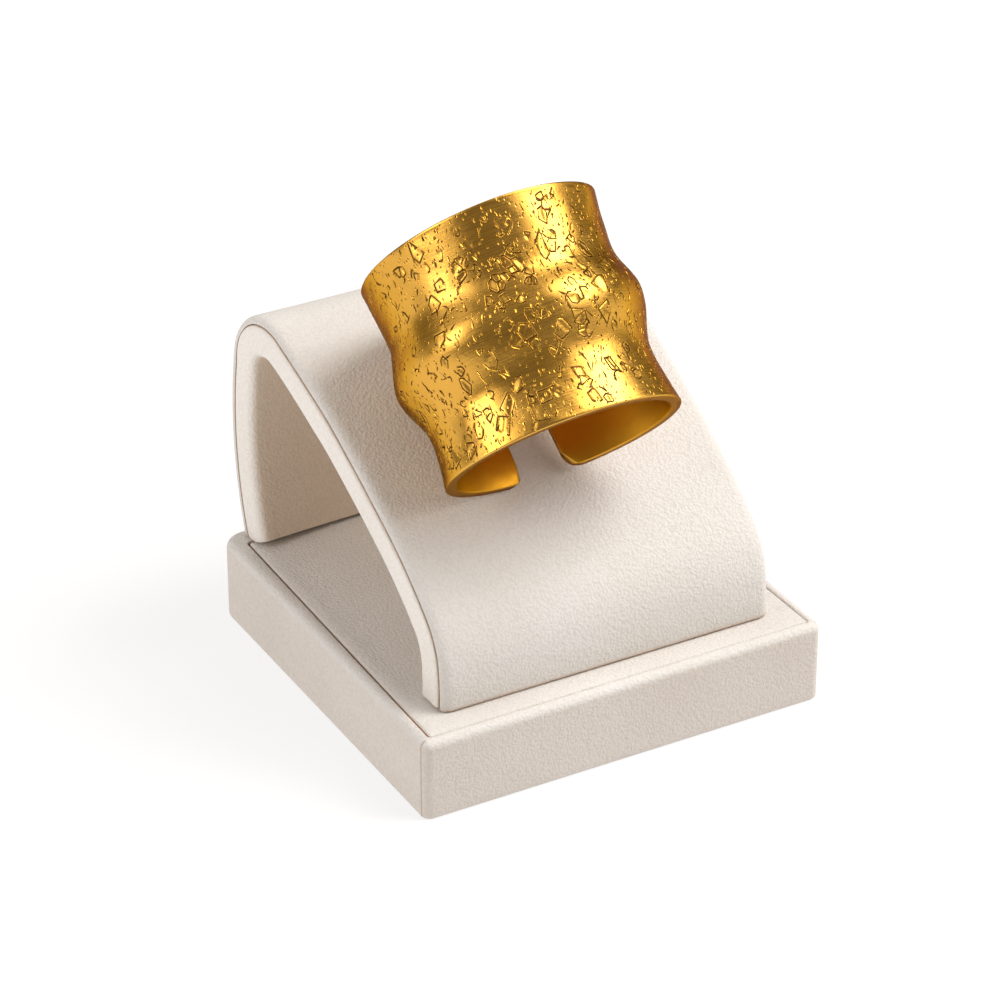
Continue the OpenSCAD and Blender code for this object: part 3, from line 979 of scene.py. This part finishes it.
def build_wrapped_base(stand):
    """The base's outside from under its foot over the rim, and down into the panel's pocket."""
    width, depth, height = mm(stand, "base_width", "base_depth", "base_height")
    edge, foot, groove = mm(stand, "base_edge", "base_foot", "groove_width")
    closed_at, pocket_depth, pocket_closed_at = 3.0, 0.6, 2.0
    side = np.linspace(foot + 0.5, height - edge - 0.3, 8)
    foot_in, foot_z = foot_round(foot)
    top_in, top_z = top_round(height, edge, 9)
    inset = np.concatenate([[closed_at], foot_in, np.zeros(len(side)), top_in])
    x, y = rounded_outline(width / 2, depth / 2, mm(stand, "base_back_corner", "base_corner"), inset)
    pocket_in = np.array([-groove - 0.16, -groove - 0.05, -groove, -groove, pocket_closed_at])
    pocket_x, pocket_y = panel_outline(stand, pocket_in)
    pocket_z = height - np.array([0, 0.04, 0.15, pocket_depth, pocket_depth])
    heights = np.concatenate([[0.0], foot_z, side, top_z, pocket_z])
    box = block_piece(
        "base_box_wrap",
        "base_box",
        np.concatenate([x, pocket_x]),
        np.concatenate([y, pocket_y]),
        heights,
        # painted shade down in the groove round the panel
        [0] * len(inset) + [0, 0.2, 1, 1, 1],
    )
    box.data.materials.append(
        leatherette_material("Base leatherette", stand, stand.top_skin, stand.shaded_side_skin, wrapped=True)
    )


def build_panel(stand):
    """The padded panel in the pocket: a rounded edge and a low swell beside it, whose height is
    exp(-d^2) of the distance from its crest."""
    height = mm(stand, "base_height")
    top, low, shift, edge_radius = height - 0.02, height - 0.5, 0.075, 0.26
    swell, crest, reach = 0.05, 0.9, 0.5
    flat_in = np.array([0.45, 0.7, 0.9, 1.2, 1.6, 2.2, 3.0])
    edge_in, edge_z = top_round(top, edge_radius, 7)
    inset = np.concatenate([[2.5, 0.08, 0.0, 0.0], edge_in, flat_in])
    flat_z = top + swell * np.exp(-(((flat_in - crest) / reach) ** 2))
    z = np.concatenate([[low, low, low + 0.08, height - 0.32], edge_z, flat_z])
    x, y = panel_outline(stand, inset)
    # painted shade on the panel's low sides, down in the groove
    panel = block_piece("base_panel_pad", "base_panel", x + shift, y, z, z < height - 0.2)
    panel.data.materials.append(
        leatherette_material("Panel leatherette", stand, stand.top_skin, stand.top_skin)
    )


def build_base(context):
    """The wrapped base with its rim and pocket, and the panel that lies in the pocket."""
    build_wrapped_base(context.scene.cuff_stand)
    build_panel(context.scene.cuff_stand)


def rounded_polygon(corners, radius, steps=5):
    """A polygon with rounded corners: at each corner a quadratic curve from a radius before it
    to a radius after it, with the corner as its control point."""
    corners = np.asarray(corners, float)
    before = np.roll(corners, 1, 0) - corners
    after = np.roll(corners, -1, 0) - corners
    start = corners + before / np.linalg.norm(before, axis=1, keepdims=True) * radius
    end = corners + after / np.linalg.norm(after, axis=1, keepdims=True) * radius
    k = np.linspace(0, 1, steps)[None, :, None]
    curve = (1 - k) ** 2 * start[:, None] + 2 * k * (1 - k) * corners[:, None] + k**2 * end[:, None]
    return curve.reshape(-1, 2)


def lowest_end(ring, f):
    """How deep the two ends of the band reach at the gap, at a share of the length."""
    size, radius = mm(ring, "band_length", "back_half_width")
    gap = math.degrees(ring.gap_turn)
    half = gap_half_angle(ring, np.array(f * size), mm(ring, "right_corner"))
    depths = []
    for angle in (gap - 90 + half, gap + 270 - half):
        a = math.radians(angle)
        out = band_swell(ring, np.array(f), angle)
        width = mix(radius, mm(ring, "front_half_width"), f) + out
        high = mix(mm(ring, "back_half_height"), mm(ring, "front_half_height"), f) + out
        x, y = width * math.cos(a), high * math.sin(a)
        depths.append(y * math.cos(ring.gap_turn) - x * math.sin(ring.gap_turn))
    return min(depths)


def build_rest(context):
    """The plain wedge under the band: a rounded outline between the band's ends and the slope,
    carried across. Its underside is lifted clear of the slope, which is the arch's long, nearly
    flat arc."""
    ring, stand = context.scene.cuff_ring, context.scene.cuff_stand
    high_at, wedge_height, end_radius, corner_radius, drawn_in = 0.52, 9, 0.35, 0.4, 4
    long_arc, lift = 3, 0.12
    size = mm(ring, "band_length")
    width, first, last, clear = mm(stand, "rest_width", "rest_from", "rest_to", "rest_gap")
    back_end = lowest_end(ring, 0.0)
    slope = (lowest_end(ring, high_at) - back_end) / (size * high_at)
    top = [back_end + slope * (size - at) - clear for at in (first, last)]
    low = [height - wedge_height for height in top]
    corners = [(top[0], -first), (top[1], -last), (low[1], -last), (low[0], -first)]
    outline = rounded_polygon(corners, corner_radius)
    shares, inset = end_stations(end_radius, width, 12)
    drawn = mix(outline.mean(0), outline[None], 1 - inset[:, None, None] / drawn_in)
    y, z = drawn[..., 0], drawn[..., 1]
    x = np.broadcast_to((shares[:, None] - 0.5) * width, y.shape)
    c, s = math.cos(ring.gap_turn), math.sin(ring.gap_turn)
    points = to_place(ring, np.stack([x * c - y * s, x * s + y * c, z], -1))
    chain = arch_chain(stand)
    centre, radius = chain[1][long_arc], chain[2][long_arc] + lift
    off = points[..., 1:] - centre
    span = np.linalg.norm(off, axis=-1)
    lifted = centre + off * (np.maximum(span, radius) / span)[..., None]
    points = np.concatenate([points[..., :1], lifted], -1).reshape(-1, 3)
    piece = make_piece("ring_rest_block", points, tube_faces(*x.shape), "ring_rest", sharp=50)
    piece.data.materials.append(lining_material(stand))


# Materials


def new_material(name):
    """A material with its shader and a function that adds a linked node."""
    material = bpy.data.materials.new(name)
    material.use_nodes = True
    tree = material.node_tree
    shader = tree.nodes["Principled BSDF"]

    def add(kind, inputs=(), **settings):
        """Adds a node, with each input either linked to a socket or set to a value."""
        node = tree.nodes.new(kind)
        for key, value in settings.items():
            setattr(node, key, value)
        for key, value in dict(inputs).items():
            if isinstance(value, bpy.types.NodeSocket):
                tree.links.new(value, node.inputs[key])
            else:
                node.inputs[key].default_value = value
        return node

    return material, shader, add, tree


def maths(add, kind, a, b=0.0, clamp=False):
    """A sum, product or other plain operation on two values."""
    return add("ShaderNodeMath", {0: a, 1: b}, operation=kind, use_clamp=clamp).outputs[0]


def blend(add, factor, a, b, kind="MIX"):
    """One colour over another."""
    node = add("ShaderNodeMix", {0: factor, 6: a, 7: b}, data_type="RGBA", blend_type=kind)
    return node.outputs[2]


def ramp(add, value, low, high, to_low=0.0, to_high=1.0):
    """A value mapped from one range to another, and held at its ends."""
    return add(
        "ShaderNodeMapRange", {0: value, 1: low, 2: high, 3: to_low, 4: to_high}, clamp=True
    ).outputs[0]


def noise(add, place, scale, detail):
    """A soft random cloud around a half, with so many swells to a metre."""
    return add("ShaderNodeTexNoise", {"Vector": place, "Scale": scale, "Detail": detail}).outputs[0]


def mask(add, label):
    """A mask that is kept on the mesh as an attribute."""
    return add("ShaderNodeAttribute", attribute_name=label).outputs["Fac"]


def relief(add, height, strength, distance, over=None, invert=False):
    """Relief of a height in metres, over the normal of another where one is given."""
    inputs = {"Height": height, "Strength": strength, "Distance": distance}
    if over is not None:
        inputs["Normal"] = over
    return add("ShaderNodeBump", inputs, invert=invert).outputs[0]


def rgba(c):
    """A colour with its opacity."""
    return (c[0], c[1], c[2], 1.0)


def mark_lines(add):
    """One mask of all the engraved lines: in each layer one minus the distance across the
    line, where that lies inside the line's extent, and the strongest of the layers."""
    total = None
    for group in range(MARK_LAYERS // LAYERS_EACH):
        fields = []
        for label in (f"across_{group}", f"kept_{group}"):
            node = add("ShaderNodeAttribute", attribute_name=label)
            fields.append(add("ShaderNodeSeparateXYZ", {0: node.outputs["Vector"]}))
        for axis in range(LAYERS_EACH):
            near = ramp(add, maths(add, "ABSOLUTE", fields[0].outputs[axis]), 1.7, 0.0)
            kept = ramp(add, fields[1].outputs[axis], 0.0, 0.035)
            line = maths(add, "MULTIPLY", near, kept)
            total = line if total is None else maths(add, "MAXIMUM", total, line)
    return total


def dashes(add, uv, scale, turned, size, share_kept, channel):
    """Small marks strewn at random: the middle of some cells of a stretched cell pattern."""
    at = add("ShaderNodeMapping", {"Vector": uv, "Rotation": (0, 0, turned), "Scale": (*scale, 1.0)})
    cells = add("ShaderNodeTexVoronoi", {"Vector": at.outputs[0], "Scale": 1.0}, voronoi_dimensions="2D")
    value = add("ShaderNodeSeparateColor", {0: cells.outputs["Color"]}).outputs[channel]
    chosen = ramp(add, value, share_kept, share_kept - 0.02)
    return maths(add, "MULTIPLY", ramp(add, cells.outputs["Distance"], size, size * 0.35), chosen)


def brass_material(ring):
    """Satin brass: brushed round the band, with engraved lines, small dashes and pits, patchy
    tarnish and painted shade in all of them, an inside painted deeper as shade and made duller, and
    plainer, finely ground rims. A thin clear coat pales the highlights, but not in the marks or inside."""
    material, shader, add, tree = new_material("Engraved satin brass")
    uv = add("ShaderNodeUVMap", uv_map="Surface").outputs[0]
    place = add("ShaderNodeTexCoord").outputs["Object"]
    inside, rim = mask(add, "inside"), mask(add, "rim")
    outside = maths(add, "SUBTRACT", maths(add, "SUBTRACT", 1.0, inside), rim, clamp=True)
    brushed_at = add("ShaderNodeMapping", {"Vector": uv, "Scale": (0.45, 8.0, 1.0)}).outputs[0]
    brushed = noise(add, brushed_at, 1.0, 3.0)
    pits = dashes(add, uv, (2.0, 1.5), 0.3, 0.2, 0.25, 0)
    hairs = dashes(add, uv, (3.0, 1.0), -0.25, 0.2, 0.3, 1)
    small = maths(add, "MULTIPLY", maths(add, "MAXIMUM", pits, hairs), outside)
    lines = mark_lines(add)
    cuts = maths(add, "MAXIMUM", lines, maths(add, "MULTIPLY", small, 0.25))
    # tarnish and painted shade: the lines and small marks are darkened towards the groove colour
    tarnish_and_shade = ramp(add, maths(add, "MAXIMUM", lines, maths(add, "MULTIPLY", small, 0.8)), 0.4, 0.75)
    patchy = ramp(add, noise(add, place, 1500.0, 1.0), 0.35, 0.6, 0.6, 0.98)
    tarnish_and_shade = maths(add, "MULTIPLY", tarnish_and_shade, patchy)
    cloud = ramp(add, noise(add, place, 260.0, 4.0), 0.35, 0.7, 0.0, 0.35)
    tone = blend(add, cloud, rgba(ring.brass), rgba(ring.deep_brass))
    tone = blend(add, rim, tone, rgba(ring.rim_brass))
    # painted shade: the inside is blended towards the deeper brass, standing in for the shade and the
    # light reflected within the band
    tone = blend(add, maths(add, "MULTIPLY", inside, 0.85), tone, rgba(ring.deep_brass))
    tone = blend(add, tarnish_and_shade, tone, rgba(ring.groove))
    tree.links.new(tone, shader.inputs["Base Color"])
    dull = maths(add, "MAXIMUM", tarnish_and_shade, inside)
    rough = maths(add, "ADD", ramp(add, brushed, 0.3, 0.7, -0.045, 0.05), ring.roughness)
    rough = maths(add, "ADD", rough, maths(add, "MULTIPLY", dull, 0.15), clamp=True)
    tree.links.new(rough, shader.inputs["Roughness"])
    shader.inputs["Metallic"].default_value = 1.0
    shader.inputs["Specular Tint"].default_value = rgba(ring.edge_tint)
    tree.links.new(ramp(add, dull, 0.0, 0.6, 0.06, 0.0), shader.inputs["Coat Weight"])
    shader.inputs["Coat IOR"].default_value = 3.4
    shader.inputs["Coat Roughness"].default_value = ring.roughness
    streaks = relief(add, brushed, 0.18, 0.00004)
    grit = relief(add, noise(add, place, 3200.0, 2.0), 0.35, 0.00003, over=streaks)
    grooves = relief(add, cuts, 1.0, ring.mark_depth, over=grit, invert=True)
    tree.links.new(grooves, shader.inputs["Normal"])
    return material


def wrap_seam(add, stand, axes):
    """A thin upright line on the base's left and right sides, beside each corner, where the
    wrap is tucked in."""
    corner = stand.base_depth / 2 - stand.base_corner * 0.8
    line = maths(add, "SUBTRACT", maths(add, "ABSOLUTE", axes.outputs[1]), corner)
    line = ramp(add, maths(add, "ABSOLUTE", line), 0.00008, 0.00003)
    half = stand.base_width / 2
    side = ramp(add, maths(add, "ABSOLUTE", axes.outputs[0]), half - 0.0005, half - 0.0004)
    return maths(add, "MULTIPLY", line, side)


def leatherette_material(name, stand, skin, shade_skin, wrapped=False):
    """Fine-grained leatherette: small pebbles with thin creases between them over a soft,
    cloudy colour. The second colour is painted shade, for the hollow side of a layer, or for the
    sides of the wrapped base, which also has its upright seams. Painted shade also darkens the
    seams, the groove and the feet."""
    worn_tint, crease_tint = (0.9, 0.87, 0.83), (0.78, 0.73, 0.68)
    material, shader, add, tree = new_material(name)
    place = add("ShaderNodeTexCoord").outputs["Object"]
    scale = 1 / stand.grain
    warp = add("ShaderNodeTexNoise", {"Vector": place, "Scale": scale * 0.5, "Detail": 2.0})
    bent = add("ShaderNodeVectorMath", {0: warp.outputs["Color"], 1: (0.0005,) * 3}, operation="MULTIPLY")
    bent = add("ShaderNodeVectorMath", {0: place, 1: bent.outputs[0]}, operation="ADD")
    cells = {"Vector": bent.outputs[0], "Scale": scale, "Smoothness": 0.35}
    pebbles = add("ShaderNodeTexVoronoi", cells, feature="SMOOTH_F1").outputs["Distance"]
    axes = add("ShaderNodeSeparateXYZ", {0: place})
    if wrapped:
        # painted shade: below the rounded top edge, the base's sides take the darker second colour
        part = ramp(add, axes.outputs[2], stand.base_height - 0.00035, stand.base_height - 0.0008)
    else:
        # painted shade: the hollow under the arch takes the darker second colour
        part = mask(add, "hollow_shade")
    tone = blend(add, part, rgba(skin), rgba(shade_skin))
    cloud = ramp(add, noise(add, place, 70.0, 3.0), 0.35, 0.65, 0.0, 0.5)
    tone = blend(add, cloud, tone, rgba(worn_tint), "MULTIPLY")
    crease = ramp(add, pebbles, 0.4, 0.75, 0.0, 0.25)
    tone = blend(add, crease, tone, rgba(crease_tint), "MULTIPLY")
    # painted shade: the seam and shade tone down in the seams, the groove and under the feet
    tone = blend(add, mask(add, "deep"), tone, rgba(stand.seam_and_shade_tone))
    pebbled = ramp(add, pebbles, 0.8, 0.2)
    if wrapped:
        seam = wrap_seam(add, stand, axes)
        tone = blend(add, maths(add, "MULTIPLY", seam, 0.85), tone, rgba(stand.seam_and_shade_tone))
        pebbled = maths(add, "SUBTRACT", pebbled, maths(add, "MULTIPLY", seam, 2.0))
    tree.links.new(tone, shader.inputs["Base Color"])
    tree.links.new(ramp(add, pebbles, 0.2, 0.8, 0.5, 0.7), shader.inputs["Roughness"])
    shader.inputs["Specular IOR Level"].default_value = 0.4
    wrinkles = relief(add, noise(add, place, scale * 0.3, 4.0), 0.3, 0.00014)
    grain = relief(add, pebbled, 0.8, 0.00005, over=wrinkles)
    tree.links.new(grain, shader.inputs["Normal"])
    return material


def lining_material(stand):
    """The lining's leatherette, made once for the arch and the rest."""
    name = "Lining leatherette"
    made = bpy.data.materials.get(name)
    return made or leatherette_material(name, stand, stand.inner_skin, stand.hollow_shade_skin)


# Stage


def area_light(name, place, target, size, roll, radiance, tint):
    """A soft light at a place in metres, turned to a target. Its power is its radiance times
    its area times pi."""
    data = bpy.data.lights.new(name, "AREA")
    data.shape, data.size, data.size_y = "RECTANGLE", size[0], size[1]
    data.energy, data.color = radiance * size[0] * size[1] * math.pi, tint
    light = bpy.data.objects.new(name, data)
    bpy.context.scene.collection.objects.link(light)
    light.location = place
    aim = (Vector(target) - place).to_track_quat("-Z", "Y")
    light.rotation_euler = (aim @ Quaternion((0, 0, 1), math.radians(roll))).to_euler()


def lay_floor(stage, scene):
    """A pale floor that glows a little, so that shadows on it stay faint."""
    half = 2.0
    mesh = bpy.data.meshes.new("floor")
    corners = [(-half, -half, 0), (half, -half, 0), (half, half, 0), (-half, half, 0)]
    mesh.from_pydata(corners, [], [(0, 1, 2, 3)])
    floor = bpy.data.objects.new("floor", mesh)
    scene.collection.objects.link(floor)
    material, shader, add, tree = new_material("Pale floor")
    place = add("ShaderNodeTexCoord").outputs["Object"]
    cloud = ramp(add, noise(add, place, 300.0, 2.0), 0.3, 0.7, 0.0, 0.3)
    darker = [c * 0.985 for c in stage.floor_colour]
    tone = blend(add, cloud, rgba(stage.floor_colour), rgba(darker))
    tree.links.new(tone, shader.inputs["Base Color"])
    shader.inputs["Roughness"].default_value = 0.9
    shader.inputs["Emission Color"].default_value = (1.0, 1.0, 1.0, 1.0)
    shader.inputs["Emission Strength"].default_value = stage.floor_glow
    floor.data.materials.append(material)


def light_room(stage, scene):
    """Warm, dim surroundings and the soft lights round the object."""
    world = bpy.data.worlds.new("Soft room")
    scene.world = world
    world.use_nodes = True
    background = world.node_tree.nodes["Background"]
    background.inputs["Color"].default_value = (1.0, 0.92, 0.83, 1.0)
    background.inputs["Strength"].default_value = stage.world_strength
    middle = (0, -0.005, 0.03)
    for name, azimuth, rise, distance, size, roll, radiance, tint in LIGHTS:
        a, e = math.radians(azimuth), math.radians(rise)
        towards = Vector((math.sin(a) * math.cos(e), -math.cos(a) * math.cos(e), math.sin(e)))
        area_light(name, Vector(middle) + distance * towards, middle, size, roll, radiance, tint)


def set_camera(stage, scene):
    """The camera at its solved place."""
    data = bpy.data.cameras.new("camera")
    data.lens, data.sensor_width = stage.lens, stage.sensor
    data.clip_start, data.clip_end = 0.01, 20
    camera = bpy.data.objects.new("camera", data)
    scene.collection.objects.link(camera)
    eye, right, up, back = camera_axes(stage)
    rows = [[right[i], up[i], back[i], eye[i] / 1000] for i in range(3)]
    camera.matrix_world = Matrix(rows + [[0, 0, 0, 1]])
    scene.camera = camera
    scene.view_settings.view_transform = "Standard"


def build_stage(context):
    """Floor, surroundings, lights and camera."""
    for build in (lay_floor, light_room, set_camera):
        build(context.scene.cuff_stage, context.scene)


# Operators and panel


class CUFFRING_OT_band(bpy.types.Operator):
    """Build the engraved brass band"""

    bl_idname = "cuff_ring.band"
    bl_label = "Ring band"

    def execute(self, context):
        build_ring(context)
        return {"FINISHED"}


class CUFFRING_OT_arch(bpy.types.Operator):
    """Build the arch's cover and its padded lining"""

    bl_idname = "cuff_ring.arch"
    bl_label = "Arch"

    def execute(self, context):
        build_arch(context)
        return {"FINISHED"}


class CUFFRING_OT_base(bpy.types.Operator):
    """Build the wrapped base and its inset panel"""

    bl_idname = "cuff_ring.base"
    bl_label = "Base and panel"

    def execute(self, context):
        build_base(context)
        return {"FINISHED"}


class CUFFRING_OT_rest(bpy.types.Operator):
    """Build the plain rest under the ring"""

    bl_idname = "cuff_ring.rest"
    bl_label = "Ring rest"

    def execute(self, context):
        build_rest(context)
        return {"FINISHED"}


class CUFFRING_OT_stage(bpy.types.Operator):
    """Set up the floor, the soft light and the camera"""

    bl_idname = "cuff_ring.stage"
    bl_label = "Stage"

    def execute(self, context):
        build_stage(context)
        return {"FINISHED"}


class CUFFRING_PT_pieces(bpy.types.Panel):
    """The pieces of the ring and its stand"""

    bl_idname = "CUFFRING_PT_pieces"
    bl_label = "Cuff ring"
    bl_space_type = "VIEW_3D"
    bl_region_type = "UI"
    bl_category = "Cuff Ring"

    def draw(self, context):
        for operator in OPERATORS:
            self.layout.operator(operator.bl_idname)


OPERATORS = (CUFFRING_OT_band, CUFFRING_OT_arch, CUFFRING_OT_base, CUFFRING_OT_rest, CUFFRING_OT_stage)
GROUPS = (
    ("cuff_ring", CuffRingSettings),
    ("cuff_stand", CuffStandSettings),
    ("cuff_stage", CuffStageSettings),
)


def register():
    """Registers the groups of settings, the operators and the panel."""
    for _, group in GROUPS:
        bpy.utils.register_class(group)
    for cls in OPERATORS + (CUFFRING_PT_pieces,):
        bpy.utils.register_class(cls)
    for name, group in GROUPS:
        setattr(bpy.types.Scene, name, PointerProperty(type=group))


def unregister():
    """Takes back all that register does, in the opposite order."""
    for name, _ in GROUPS:
        delattr(bpy.types.Scene, name)
    for cls in (CUFFRING_PT_pieces,) + OPERATORS[::-1]:
        bpy.utils.unregister_class(cls)
    for _, group in GROUPS[::-1]:
        bpy.utils.unregister_class(group)


def main():
    """Registers the add-on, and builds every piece."""
    register()
    bpy.ops.cuff_ring.band()
    bpy.ops.cuff_ring.arch()
    bpy.ops.cuff_ring.base()
    bpy.ops.cuff_ring.rest()
    bpy.ops.cuff_ring.stage()


if __name__ == "__main__":
    main()
